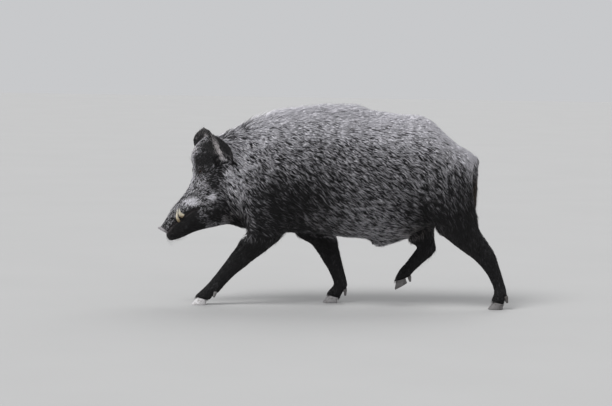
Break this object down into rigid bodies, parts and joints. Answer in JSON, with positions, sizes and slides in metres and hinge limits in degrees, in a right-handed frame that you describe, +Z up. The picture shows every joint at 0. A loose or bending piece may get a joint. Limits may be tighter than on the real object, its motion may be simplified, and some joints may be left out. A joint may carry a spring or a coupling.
{
  "type": "wild boar",
  "caption": "Life-size wild boar in mid-stride with its head low: arched back and mane, sloping rump, long snout, tusks, upright ears and hanging tail.",
  "frame": {"origin": "on the floor under the middle of the bounding box", "axes": "+X from the snout to the rump, so the animal heads towards -X; +Y to its right side; +Z up"},
  "size_m": [1.5758, 0.402, 0.9172],
  "materials": {
    "coat": "coarse grey-black bristles with pale frosted tips over a near-black underlayer",
    "face_coat": "short bluish-grey hair, lighter on the snout bridge and the cheek patch, black under the jaw",
    "leg_coat": "short near-black hair with a slight sheen",
    "ear": "short dark hair with a pale fringe at the front edge",
    "snout_skin": "bare grey skin, slightly moist",
    "horn": "worn grey horn",
    "tusk": "yellow-white tooth",
    "eye": "dark brown, wet"
  },
  "bodies": {
    "root": {"trunk": "coat", "neck": "coat", "head": "face_coat", "lower_jaw": "face_coat", "tail": "coat", "ear_left": "ear", "ear_right": "ear", "foreleg_left_forearm": "leg_coat", "foreleg_left_cannon": "leg_coat", "foreleg_left_hoof_inner": "horn", "foreleg_left_hoof_outer": "horn", "foreleg_left_dewclaw_inner": "horn", "foreleg_left_dewclaw_outer": "horn", "foreleg_right_forearm": "leg_coat", "foreleg_right_cannon": "leg_coat", "foreleg_right_hoof_inner": "horn", "foreleg_right_hoof_outer": "horn", "foreleg_right_dewclaw_inner": "horn", "foreleg_right_dewclaw_outer": "horn", "hindleg_left_thigh": "leg_coat", "hindleg_left_shank": "leg_coat", "hindleg_left_hoof_inner": "horn", "hindleg_left_hoof_outer": "horn", "hindleg_left_dewclaw_inner": "horn", "hindleg_left_dewclaw_outer": "horn", "hindleg_right_thigh": "leg_coat", "hindleg_right_shank": "leg_coat", "hindleg_right_hoof_inner": "horn", "hindleg_right_hoof_outer": "horn", "hindleg_right_dewclaw_inner": "horn", "hindleg_right_dewclaw_outer": "horn", "snout_disc": "snout_skin", "eye_left": "eye", "tusk_lower_left": "tusk", "tusk_upper_left": "tusk", "eye_right": "eye", "tusk_lower_right": "tusk", "tusk_upper_right": "tusk"}
  },
  "joints": []
}
